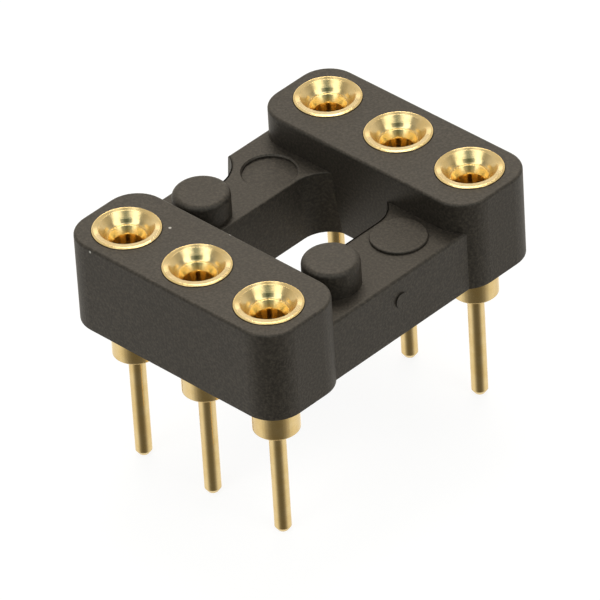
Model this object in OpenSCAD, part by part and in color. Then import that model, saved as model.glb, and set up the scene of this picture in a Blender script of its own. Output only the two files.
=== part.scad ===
// Six-contact open-frame dual-in-line IC socket with turned contacts.
// Millimetres. X runs along the two contact rows, Y across them and Z up.
// The origin is the centre of the footprint on the board plane, where the
// shoulders of the six sleeves rest. The pin-1 end of the frame is at -X.

/* [Footprint] */
// Contacts in each row
row_contacts = 3; // [3:1:6]
// Spacing of the contacts along a row
pitch = 2.54; // [2.54, 2.5]
// Distance between the two rows
row_spacing = 7.62; // [7.62:2.54:15.24]

/* [Insulator] */
// From an end contact to the end of its rail
end_margin = 1.24; // [1.2:0.01:1.4]
// From a row of contacts to the outer face of its rail
side_margin = 1.25; // [1.2:0.01:1.4]
// Height of the rails
body_h = 2.71; // [2.4:0.01:3]
// Gap between the board and the underside of the insulator
standoff = 1.26; // [0.6:0.02:1.5]
// Width of each rail
rail_w = 2.82; // [2.7:0.02:3]
// Radius of the upright corners of the rails
rail_r = 0.9; // [0.3:0.02:1.2]
// Setback of the notched crossbar from the ends of the rails
notch_setback = 0.11; // [0.05:0.01:0.3]
// Setback of the other crossbar
bar_setback = 0.23; // [0.05:0.01:0.3]
// Width of each crossbar along X, apart from the setbacks
bar_w = 2.34; // [2:0.02:2.5]
// Drop from the rail tops to the crossbar tops
bar_drop = 0.89; // [0.5:0.01:1.2]
// Radius of the corners of the window in the frame
window_r = 1; // [0.5:0.05:1.2]
// How much the window narrows on each side towards the board
draft = 0.13; // [0.02:0.01:0.2]

/* [Frame details] */
// Radius of the round pads and discs on the crossbars
pad_r = 0.78; // [0.5:0.01:0.9]
// Drop from the rail tops to the tops of the two tall pads
pad_drop = 0.1; // [0.1:0.01:0.6]
// Radius of the shallow round recess beside pin 6
recess_r = 0.74; // [0.5:0.02:0.8]
// Its depth
recess_d = 0.1; // [0.05:0.01:0.3]
// Height of the low disc beside pin 4
disc_h = 0.08; // [0.04:0.01:0.2]
// Radius of the pin-1 notch
notch_r = 1.19; // [0.8:0.01:1.5]
// Depth of the notch into the crossbar
notch_d = 0.72; // [0.3:0.02:1]
// Radius of the moulding gate's scar
gate_r = 0.22; // [0.1:0.02:0.4]
// Radius of the moulded top edges
soft = 0.08; // [0.04:0.01:0.12]

/* [Turned sleeve] */
// Diameter of the sleeve's head
head_d = 1.84; // [1.7:0.02:1.9]
// Height of the head
head_h = 0.62; // [0.4:0.02:0.8]
// How far the head stands above the rail
head_proud = 0.06; // [0:0.01:0.2]
// Diameter of the press-fit band under the head
band_d = 1.4; // [1.34:0.02:1.5]
// Diameter of the barrel
barrel_d = 1.27; // [1.24:0.01:1.32]
// Diameter of the solder tail
tail_d = 0.46; // [0.4:0.01:0.54]
// Length of the solder tail below the board plane
tail_l = 3.34; // [2.5:0.02:4]
// Diameter of the funnel at the rim
funnel_d = 1.5; // [1.4:0.02:1.6]
// Depth of the funnel
funnel_h = 0.27; // [0.2:0.01:0.4]
// Diameter of the bore for the spring clip
bore_d = 1.06; // [1.02:0.01:1.1]
// Depth of the bore below the rim
bore_depth = 3.4; // [2.8:0.05:3.6]

/* [Spring clip] */
// Thickness of the strip that the clip is rolled from
strip_t = 0.08; // [0.06:0.01:0.1]
// Number of fingers
fingers = 4; // [3:1:6]
// Height of the clip's collar
collar_h = 0.5; // [0.4:0.02:0.8]
// Length of the tapering part of the fingers
finger_l = 1.1; // [0.9:0.05:1.3]
// Length of the straight throat that grips the lead
throat_l = 0.3; // [0.2:0.02:0.4]
// Diameter of the throat with no lead in it
throat_d = 0.36; // [0.3:0.02:0.44]
// Width of the slots between the fingers
slot_w = 0.1; // [0.08:0.01:0.14]

/* [Hidden] */
$fn = 96;
cut = 1;                                    // overrun of every cutting tool

plastic = [0.12, 0.115, 0.11];
gold = [0.86, 0.71, 0.36];
clip_gold = [0.78, 0.6, 0.26];

edge = 0.04;                                // small edges are broken this much
mouth = 0.03;                               // chamfer at the mouth of the sleeve's bore

// Levels above the board plane
frame_z = standoff;
rail_z = standoff + body_h;
bar_z = rail_z - bar_drop;
pad_z = rail_z - pad_drop;
rim_z = rail_z + head_proud;
seat_z = rim_z - head_h;
clip_z = rim_z - funnel_h - mouth;

// Plan of the frame
body_l = (row_contacts - 1) * pitch + 2 * end_margin;
body_w = row_spacing + 2 * side_margin;
rail_in = body_w / 2 - rail_w;              // inner face of a rail from the axis
bar_in = body_l / 2 - bar_w;                // inner faces of both crossbars
bar_out = body_l / 2 - bar_setback;         // outer face of the plain one
notch_out = body_l / 2 - notch_setback;     // outer face of the notched one
pad_margin = 0.1;                           // from the window to the pads
pad_x = bar_in + pad_r + pad_margin;
pad_y = rail_in - pad_r - 0.19;
pad_soft = 0.16;                            // edge radius of the tall pads
gate_rise = 0.2;                            // gate above the middle of its face
gate_h = 0.04;                              // height of what is left of the gate

// Fits in the insulator
counterbore_r = head_d / 2 + 0.02;
band_z = seat_z - 1.2;                      // lower end of the press-fit band
step_h = 0.2;                               // cone between the barrel and the band
point_r = 0.08;                             // taper of the tail's end
point_h = 0.12;
drill_angle = 31;                           // floor of the bore, below the horizontal

// Form of the spring clips
clip_edge = 0.02;                           // broken edge of the collar
lead_r = 0.4;                               // lower end of the lead-in cone
lead_h = 0.2;                               // its depth below the collar's edge
tip_flare = 0.1;                            // how far the tips open past the throat
seam_w = 0.04;                              // gap where the rolled edges meet

// Where contact n stands: 1, 2, 3 along the front, 4, 5, 6 back along the rear
function contact_xy(n) =
    let (front = n <= row_contacts,
         step = front ? n - 1 : 2 * row_contacts - n)
    [(step - (row_contacts - 1) / 2) * pitch, (front ? -1 : 1) * row_spacing / 2];

// Section of a wall that ends at x = reach, with its top edge rounded
module rounded_wall(reach, z0, z1, r) {
    translate([0, z0]) square([reach, z1 - z0 - r]);
    translate([0, z0]) square([reach - r, z1 - z0]);
    translate([reach - r, z1 - r]) circle(r);
}

// Section of a cutter of the given reach. Its hole narrows downwards, and the top
// edge of the hole is left rounded.
module flared_wall(reach, z0, z1) {
    slope = draft / (z1 - z0);
    polygon([[0, z0 - cut], [reach - draft - cut * slope, z0 - cut],
        [reach, z1], [reach, z1 + cut], [0, z1 + cut]]);
    translate([reach, z1 - soft]) difference() {
        square([soft, soft + cut]);
        translate([soft, 0]) circle(soft);
    }
}

// A block with upright corners of radius r. Its child is the section of its walls,
// from r inside the outline to the outline itself.
module framed_block(size_x, size_y, z0, z1, r) {
    straight = [size_x - 2 * r, size_y - 2 * r];
    translate([-straight[0] / 2, -straight[1] / 2, z0]) cube([straight[0], straight[1], z1 - z0]);
    for (turn = [0 : 3]) {
        along = straight[(turn + 1) % 2];
        out = straight[turn % 2];
        rotate(90 * turn) {
            translate([out / 2, along / 2, 0]) rotate([90, 0, 0]) linear_extrude(along) children();
            translate([out / 2, along / 2, 0]) rotate_extrude(angle = 90) children();
        }
    }
}

module rails() {
    for (side = [-1, 1])
        translate([0, side * (body_w - rail_w) / 2])
            framed_block(body_l, rail_w, frame_z, rail_z, rail_r)
                rounded_wall(rail_r, frame_z, rail_z, soft);
}

// The two crossbars are one plate with the window cut out of it
module crossbars() {
    difference() {
        for (side = [0, 1]) mirror([side, 0, 0]) rotate([90, 0, 0])
            linear_extrude(2 * (rail_in + rail_r), center = true)
                rounded_wall(side == 1 ? notch_out : bar_out, frame_z, bar_z, soft);
        framed_block(2 * bar_in, 2 * (rail_in + draft + edge), frame_z - cut, bar_z + cut, window_r)
            flared_wall(window_r, frame_z, bar_z);
        translate([-notch_out - notch_r + notch_d, 0, 0])
            rotate_extrude() flared_wall(notch_r, frame_z, bar_z);
        translate([-pad_x, pad_y, bar_z - recess_d]) cylinder(r = recess_r, h = cut);
        translate([-pad_x, pad_y, bar_z - edge])
            cylinder(r1 = recess_r, r2 = recess_r + 2 * edge, h = 2 * edge);
    }
    // tall pads beside the front rail and the low disc beside the rear one
    for (side = [-1, 1]) translate([side * pad_x, -pad_y, 0])
        rotate_extrude() rounded_wall(pad_r, frame_z, pad_z, pad_soft);
    translate([pad_x, pad_y, 0])
        rotate_extrude() rounded_wall(pad_r, bar_z - recess_d, bar_z + disc_h, edge);
    // scar where the moulding gate was cut off
    translate([bar_out - recess_d, 0, (frame_z + bar_z) / 2 + gate_rise])
        rotate([0, 90, 0]) cylinder(r = gate_r, h = recess_d + gate_h);
}

// Stepped hole for one sleeve: counterbore for the head, then the press-fit bore
module sleeve_hole() {
    translate([0, 0, frame_z - cut]) cylinder(d = band_d, h = rail_z - frame_z + 2 * cut);
    translate([0, 0, seat_z]) cylinder(r = counterbore_r, h = rail_z - seat_z + cut);
}

module insulator() {
    color(plastic) difference() {
        union() {
            rails();
            crossbars();
        }
        for (n = [1 : 2 * row_contacts]) translate(contact_xy(n)) sleeve_hole();
    }
}

// Turned sleeve: head with funnel, press-fit band, barrel, shoulder and solder tail
module sleeve(n) {
    floor_z = rim_z - bore_depth;
    color(gold) translate(contact_xy(n)) rotate_extrude()
        polygon([
            [0, -tail_l], [tail_d / 2 - point_r, -tail_l], [tail_d / 2, -tail_l + point_h],
            [tail_d / 2, 0], [barrel_d / 2 - edge, 0], [barrel_d / 2, edge],
            [barrel_d / 2, band_z - step_h], [band_d / 2, band_z],
            [band_d / 2, seat_z], [head_d / 2, seat_z],
            [head_d / 2, rim_z - edge], [head_d / 2 - edge, rim_z],
            [funnel_d / 2, rim_z], [bore_d / 2 + mouth, rim_z - funnel_h],
            [bore_d / 2, clip_z], [bore_d / 2, floor_z],
            [0, floor_z - bore_d / 2 * tan(drill_angle)]
        ]);
}

// Rolled clip: a collar pressed into the bore, a lead-in cone above the fingers, and
// fingers that close on a straight throat and open again at their tips
module spring_clip(n) {
    outer = bore_d / 2;
    throat = throat_d / 2;
    collar_z = clip_z - collar_h;
    slot_z = clip_z - lead_h - slot_w / 2;
    throat_z = collar_z - finger_l;
    tip_z = throat_z - throat_l;
    color(clip_gold) translate(contact_xy(n)) difference() {
        rotate_extrude() polygon([
            [outer - clip_edge, clip_z], [outer, clip_z - clip_edge], [outer, collar_z],
            [throat + strip_t, throat_z], [throat + strip_t, tip_z],
            [throat + strip_t + tip_flare, tip_z - 2 * tip_flare],
            [throat + tip_flare, tip_z - 2 * tip_flare],
            [throat, tip_z], [throat, throat_z],
            [lead_r, clip_z - lead_h], [outer - clip_edge, clip_z]
        ]);
        // slots between the fingers
        for (k = [0 : fingers - 1])
            rotate(45 + k * 360 / fingers)
                translate([0, -slot_w / 2, tip_z - cut])
                    cube([outer + cut, slot_w, slot_z - tip_z + cut]);
        // seam of the rolled collar
        rotate(45) translate([0, -seam_w / 2, slot_z - slot_w])
            cube([outer + cut, seam_w, clip_z - slot_z + slot_w + cut]);
    }
}

insulator();
for (n = [1 : 2 * row_contacts]) {
    sleeve(n);
    spring_clip(n);
}
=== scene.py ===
"""A six-contact open-frame IC socket: the finishes of its thirteen pieces and the white tent round it.

Lengths are in millimetres, and MM turns them into metres. The board plane is z = 0, the contact rows run
along X, the funnels open upwards and the tails point down.
"""

import math

import bpy
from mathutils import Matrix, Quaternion, Vector


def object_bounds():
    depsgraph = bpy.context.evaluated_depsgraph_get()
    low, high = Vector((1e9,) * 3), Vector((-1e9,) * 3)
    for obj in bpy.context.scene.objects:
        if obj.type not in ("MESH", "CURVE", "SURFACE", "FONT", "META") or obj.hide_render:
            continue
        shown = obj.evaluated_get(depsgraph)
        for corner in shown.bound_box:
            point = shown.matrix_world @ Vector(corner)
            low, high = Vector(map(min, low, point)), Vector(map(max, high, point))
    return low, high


MM = 0.001
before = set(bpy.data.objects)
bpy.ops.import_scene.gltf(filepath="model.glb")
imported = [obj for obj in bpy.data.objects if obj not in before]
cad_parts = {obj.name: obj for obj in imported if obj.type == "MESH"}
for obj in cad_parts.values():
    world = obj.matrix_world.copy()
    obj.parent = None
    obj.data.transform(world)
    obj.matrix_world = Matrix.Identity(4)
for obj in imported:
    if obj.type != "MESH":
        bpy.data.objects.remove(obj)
cad_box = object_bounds()
scene = bpy.context.scene
scene.view_settings.view_transform = "Standard"


# ---------------------------------------------------------------- camera
# A long lens looks down on the socket past the corner where contact 3 stands, with the pin-1 notch
# on the far left. The camera is rolled by a few degrees.
CAMERA_AZIMUTH = 45.52
CAMERA_ELEVATION = 36.62
CAMERA_ROLL = -3.6
CAMERA_DISTANCE = 206.4
CAMERA_LENS = 470.8
SENSOR_WIDTH = 36
AIM_POINT = Vector((-0.383, 0.191, 0.388))
NEAREST_SEEN = 10
FARTHEST_SEEN = 2000


def direction(azimuth, elevation):
    """The unit vector from the socket towards a place on the sky. Azimuth 0 is -Y and 90 is +X."""
    turn = math.radians(azimuth)
    rise = math.radians(elevation)
    return Vector((math.sin(turn) * math.cos(rise), -math.cos(turn) * math.cos(rise), math.sin(rise)))


def place_camera():
    camera = bpy.data.objects.new("camera", bpy.data.cameras.new("camera"))
    scene.collection.objects.link(camera)
    towards_camera = direction(CAMERA_AZIMUTH, CAMERA_ELEVATION)
    roll = Quaternion((0, 0, 1), math.radians(CAMERA_ROLL))
    camera.location = (AIM_POINT + towards_camera * CAMERA_DISTANCE) * MM
    camera.rotation_mode = "QUATERNION"
    camera.rotation_quaternion = (-towards_camera).to_track_quat("-Z", "Y") @ roll
    camera.data.lens = CAMERA_LENS
    camera.data.sensor_width = SENSOR_WIDTH
    camera.data.clip_start = NEAREST_SEEN * MM
    camera.data.clip_end = FARTHEST_SEEN * MM
    scene.camera = camera


place_camera()


# ---------------------------------------------------------------- white tent
# A tent of white cloth stands round the socket, brightest behind it. On the camera's side it is open
# to a dim room, with strips of light on both sides of the dark lens, and the table lies under it all.
# The tent lights the socket and is mirrored in it, and the camera sees plain white past the socket.
class Field:
    """A value that varies over a surface: one output socket of a node tree."""

    def __init__(self, tree, socket=None):
        self.tree = tree
        self.socket = socket

    def node(self, kind, settings=None, inputs=None, output=0):
        """Adds a node, with its settings before its inputs, and gives one of its outputs, if any."""
        made = self.tree.nodes.new(kind)
        for name, value in (settings or {}).items():
            setattr(made, name, value)
        for key, value in (inputs or {}).items():
            if isinstance(value, Field):
                value.feed(made.inputs[key])
            else:
                made.inputs[key].default_value = value
        return Field(self.tree, made.outputs[output] if made.outputs else None)

    def feed(self, socket):
        self.tree.links.new(self.socket, socket)

    def math(self, operation, *values):
        return self.node("ShaderNodeMath", {"operation": operation}, dict(enumerate(values)))

    def __add__(self, other):
        return self.math("ADD", self, other)

    def __sub__(self, other):
        return self.math("SUBTRACT", self, other)

    def __rsub__(self, other):
        return self.math("SUBTRACT", other, self)

    def __mul__(self, other):
        return self.math("MULTIPLY", self, other)

    __radd__ = __add__
    __rmul__ = __mul__

    def between(self, low, high):
        """0 where the value is under low, 1 where it is over high, and a smooth ramp between them."""
        return self.node(
            "ShaderNodeMapRange",
            {"interpolation_type": "SMOOTHSTEP"},
            {"Value": self, "From Min": low, "From Max": high},
        )

    def mix(self, colour_a, colour_b):
        """colour_a where the value is 0 and colour_b where it is 1.

        A Mix node takes its factor at input 0 and its colours at inputs 6 and 7, and gives the mixed
        colour at output 2.
        """
        return self.node(
            "ShaderNodeMix", {"data_type": "RGBA"}, {0: self, 6: colour_a, 7: colour_b}, output=2
        )


def rgba(red, green, blue):
    return (red, green, blue, 1.0)


WHITE = rgba(1, 1, 1)
DIM_WALL = rgba(0.20, 0.215, 0.21)
BRIGHT_WALL = rgba(0.73, 0.69, 0.615)
DIM_ROOM = rgba(0.30, 0.37, 0.36)
DARK_LENS = rgba(0.06, 0.09, 0.075)
STRIP_LIGHT = rgba(1.9, 1.95, 1.9)
STRIPS = [(-48, 30), (48, 30), (-42, 58), (42, 58)]  # degrees to the side of the camera, and elevation
FAR_TABLE = rgba(0.88, 0.85, 0.79)
NEAR_TABLE = rgba(0.13, 0.115, 0.085)
BACKDROP_GLOW = rgba(1.5, 1.42, 1.25)


def build_tent():
    world = bpy.data.worlds.new("tent")
    world.use_nodes = True
    tree = world.node_tree
    tree.nodes.clear()
    is_camera = Field(tree).node("ShaderNodeLightPath", output="Is Camera Ray")
    sky = Field(tree).node("ShaderNodeTexCoord", output="Generated")

    def patch(azimuth, elevation, edge, core):
        """1 in the core of a round patch of the sky and 0 past its edge, both given as cosines."""
        middle = direction(azimuth, elevation)
        nearness = sky.node(
            "ShaderNodeVectorMath", {"operation": "DOT_PRODUCT"}, {0: sky, 1: middle}, output="Value"
        )
        return nearness.between(edge, core)

    behind = CAMERA_AZIMUTH + 180
    walls = patch(behind, elevation=20, edge=-0.35, core=0.65).mix(DIM_WALL, BRIGHT_WALL)
    walls = patch(CAMERA_AZIMUTH, elevation=28, edge=0.85, core=0.95).mix(walls, DIM_ROOM)
    walls = patch(CAMERA_AZIMUTH, elevation=30, edge=0.965, core=0.99).mix(walls, DARK_LENS)
    for side, elevation in STRIPS:
        walls = patch(CAMERA_AZIMUTH + side, elevation, edge=0.945, core=0.98).mix(walls, STRIP_LIGHT)
    table = patch(CAMERA_AZIMUTH, elevation=0, edge=0.1, core=0.8).mix(FAR_TABLE, NEAR_TABLE)
    above_table = patch(0, elevation=90, edge=-0.15, core=0.05)
    high = patch(0, elevation=90, edge=0.15, core=0.45)
    backdrop = (1 - high) * patch(behind, elevation=2, edge=0.6, core=0.88)
    tent = backdrop.mix(above_table.mix(table, walls), BACKDROP_GLOW)
    light = sky.node("ShaderNodeBackground", inputs={"Color": is_camera.mix(tent, WHITE)})
    light.node("ShaderNodeOutputWorld", inputs={"Surface": light})
    scene.world = world


build_tent()


# ---------------------------------------------------------------- sheet
# A sheet of matt white paper lies under the tails. The camera sees it as nearly plain white, with a
# faint shadow of the socket, and the socket mirrors the tent's table instead of the sheet.
SHEET_SIZE = 400
PAPER = rgba(0.80, 0.80, 0.79)
PAPER_GLOW = 1.12
GLOW_SHARE = 0.78


def white_paper():
    material = bpy.data.materials.new("white_sheet")
    material.use_nodes = True
    tree = material.node_tree
    tree.nodes.clear()
    is_camera = Field(tree).node("ShaderNodeLightPath", output="Is Camera Ray")
    paper = Field(tree).node("ShaderNodeBsdfDiffuse", inputs={"Color": PAPER})
    glow = Field(tree).node("ShaderNodeEmission", inputs={"Color": WHITE, "Strength": PAPER_GLOW})
    layers = {0: is_camera * GLOW_SHARE, 1: paper, 2: glow}
    seen = Field(tree).node("ShaderNodeMixShader", inputs=layers)
    seen.node("ShaderNodeOutputMaterial", inputs={"Surface": seen})
    return material


def lay_sheet():
    level = cad_box[0].z
    half = SHEET_SIZE / 2 * MM
    mesh = bpy.data.meshes.new("sheet")
    mesh.from_pydata(
        [(-half, -half, level), (half, -half, level), (half, half, level), (-half, half, level)],
        [],
        [(0, 1, 2, 3)],
    )
    mesh.materials.append(white_paper())
    sheet = bpy.data.objects.new("sheet", mesh)
    scene.collection.objects.link(sheet)
    sheet.visible_glossy = False


lay_sheet()


# ---------------------------------------------------------------- lamp
# One round soft lamp hangs high behind the socket and shines down on it, a little warmer than the tent.
LAMP_AZIMUTH = 222
LAMP_ELEVATION = 62
LAMP_DISTANCE = 120
LAMP_SIZE = 60
LAMP_POWER = 0.045
LAMP_COLOUR = (1.0, 0.94, 0.84)


def hang_lamp():
    data = bpy.data.lights.new("back_lamp", "AREA")
    data.shape = "DISK"
    data.size = LAMP_SIZE * MM
    data.energy = LAMP_POWER
    data.color = LAMP_COLOUR
    lamp = bpy.data.objects.new("back_lamp", data)
    scene.collection.objects.link(lamp)
    away = direction(LAMP_AZIMUTH, LAMP_ELEVATION)
    lamp.location = away * LAMP_DISTANCE * MM
    lamp.rotation_mode = "QUATERNION"
    lamp.rotation_quaternion = (-away).to_track_quat("-Z", "Y")


hang_lamp()


# ---------------------------------------------------------------- insulator
# One moulding in glass-filled thermoplastic: two rails and two crossbars. The mould's spark-eroded
# faces leave a fine even grain, and the flow leaves faint clouds in its colour. A few specks of dust
# lie on the front rail, each given by its place and radius.
CLOUD_SIZE = 1.6
CLOUD_SPAN = (0.3, 0.7)
DEEP_RESIN = rgba(0.011, 0.009, 0.007)
PALE_RESIN = rgba(0.015, 0.0122, 0.0095)
RESIN_ROUGHNESS = 0.46
CLOUD_ROUGHNESS = 0.12
RESIN_IOR = 1.54
RESIN_SHEEN = rgba(1.0, 0.93, 0.84)
GRAIN_SIZE = 0.07
GRAIN_SPAN = (0.35, 0.75)
GRAIN_DEPTH = 0.014
GRAIN_STRENGTH = 0.7
GRAIN_COLOUR = rgba(0.046, 0.038, 0.029)
DUST = [(-1.7, -3.06, 3.97, 0.05), (-2.65, -5.05, 3.88, 0.045), (-0.29, -2.27, 3.95, 0.045)]
DUST_COLOUR = rgba(0.5, 0.48, 0.45)


def new_finish(name):
    """A new material, its main shader, and the point on the piece in millimetres."""
    material = bpy.data.materials.new(name)
    material.use_nodes = True
    shader = material.node_tree.nodes["Principled BSDF"]
    place = Field(material.node_tree).node("ShaderNodeTexCoord", output="Object")
    place = place.node("ShaderNodeVectorMath", {"operation": "SCALE"}, {0: place, "Scale": 1 / MM})
    return material, shader, place


def noise(place, size, detail, roughness=0.5):
    return place.node(
        "ShaderNodeTexNoise",
        inputs={"Vector": place, "Scale": 1 / size, "Detail": detail, "Roughness": roughness},
    )


def moulded_plastic():
    material, shader, place = new_finish("moulded_plastic")
    clouds = noise(place, CLOUD_SIZE, detail=3)
    grain = noise(place, GRAIN_SIZE, detail=3, roughness=0.6)
    colour = clouds.between(*CLOUD_SPAN).mix(DEEP_RESIN, PALE_RESIN)
    colour = grain.between(*GRAIN_SPAN).mix(colour, GRAIN_COLOUR)
    for x, y, z, radius in DUST:
        distance = place.node(
            "ShaderNodeVectorMath", {"operation": "DISTANCE"}, {0: place, 1: (x, y, z)}, output="Value"
        )
        colour = (1 - distance.between(radius / 2, radius)).mix(colour, DUST_COLOUR)
    bump = place.node(
        "ShaderNodeBump",
        inputs={"Strength": GRAIN_STRENGTH, "Distance": GRAIN_DEPTH * MM, "Height": grain},
    )
    colour.feed(shader.inputs["Base Color"])
    (clouds * CLOUD_ROUGHNESS + RESIN_ROUGHNESS).feed(shader.inputs["Roughness"])
    bump.feed(shader.inputs["Normal"])
    shader.inputs["IOR"].default_value = RESIN_IOR
    shader.inputs["Specular Tint"].default_value = RESIN_SHEEN
    return material


def dress(node, material):
    """Gives a CAD node its finish."""
    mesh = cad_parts[node].data
    mesh.materials.clear()
    mesh.materials.append(material)


dress("insulator", moulded_plastic())


# ---------------------------------------------------------------- turned sleeves
# Six brass sleeves turned on an automatic lathe and gold plated over nickel. The tool leaves fine
# rings round the axis, and the plating softens them to a satin shine and is a little deeper in
# colour in patches. Each lip is dished, and its edge with the funnel is rounded.
CONTACTS = range(1, 7)
PITCH = 2.54
ROW_SPACING = 7.62
FUNNEL_RADIUS = 0.75
MOUTH_ROUNDING = 0.13
LIP_SLOPE = 0.65
WALL_SLOPE = 0.2
EDGE_RADIUS = 0.04
EDGE_SAMPLES = 6
RING_PITCH = 0.035
RING_DEPTH = 0.003
RING_STRETCH = (0.3, 0.3, 1.0)
PATCH_SIZE = 0.35
PATCH_SPAN = (0.3, 0.7)
PATCH_DEEPENING = (0.94, 0.9, 0.8)
PATCH_ROUGHNESS = 0.1


def rounded_mouth(place):
    """A normal that dishes a sleeve's lip and rounds its edge with the funnel, for all six at once."""
    x = place.node("ShaderNodeSeparateXYZ", inputs={0: place}, output="X")
    y = place.node("ShaderNodeSeparateXYZ", inputs={0: place}, output="Y")
    along = x.math("PINGPONG", x, PITCH / 2)
    across = y.math("ABSOLUTE", y) - ROW_SPACING / 2
    outside = x.math("SQRT", along * along + across * across) - FUNNEL_RADIUS
    lip = x.math("MAXIMUM", outside, 0.0)
    wall = x.math("MINIMUM", x.math("MAXIMUM", 0.0 - outside, 0.0), MOUTH_ROUNDING)
    edge = place.node("ShaderNodeBevel", {"samples": EDGE_SAMPLES}, {"Radius": EDGE_RADIUS * MM})
    height = lip * LIP_SLOPE + wall * WALL_SLOPE
    return place.node(
        "ShaderNodeBump", inputs={"Strength": 1.0, "Distance": MM, "Height": height, "Normal": edge}
    )


def plated_gold(name, colour, roughness, ring_strength):
    material, shader, place = new_finish(name)
    stretched = place.node(
        "ShaderNodeVectorMath", {"operation": "MULTIPLY"}, {0: place, 1: RING_STRETCH}
    )
    rings = noise(stretched, RING_PITCH, detail=2, roughness=0.6)
    patches = noise(place, PATCH_SIZE, detail=2)
    deeper = rgba(*(tone * share for tone, share in zip(colour, PATCH_DEEPENING)))
    bump = place.node(
        "ShaderNodeBump",
        inputs={
            "Strength": ring_strength,
            "Distance": RING_DEPTH * MM,
            "Height": rings,
            "Normal": rounded_mouth(place),
        },
    )
    patches.between(*PATCH_SPAN).mix(colour, deeper).feed(shader.inputs["Base Color"])
    (patches * PATCH_ROUGHNESS + (roughness - PATCH_ROUGHNESS / 2)).feed(shader.inputs["Roughness"])
    bump.feed(shader.inputs["Normal"])
    shader.inputs["Metallic"].default_value = 1.0
    return material


sleeve_gold = plated_gold("sleeve_gold", rgba(0.90, 0.70, 0.36), roughness=0.2, ring_strength=0.3)
for number in CONTACTS:
    dress(f"sleeve_{number}", sleeve_gold)


# ---------------------------------------------------------------- spring clips
# Six clips rolled from thin beryllium copper strip and gold plated. Each is pressed into its sleeve,
# and only the lead-in and the tops of the four fingers can be seen down the funnel.
clip_gold = plated_gold("clip_gold", rgba(0.88, 0.68, 0.32), roughness=0.22, ring_strength=0.15)
for number in CONTACTS:
    dress(f"spring_clip_{number}", clip_gold)
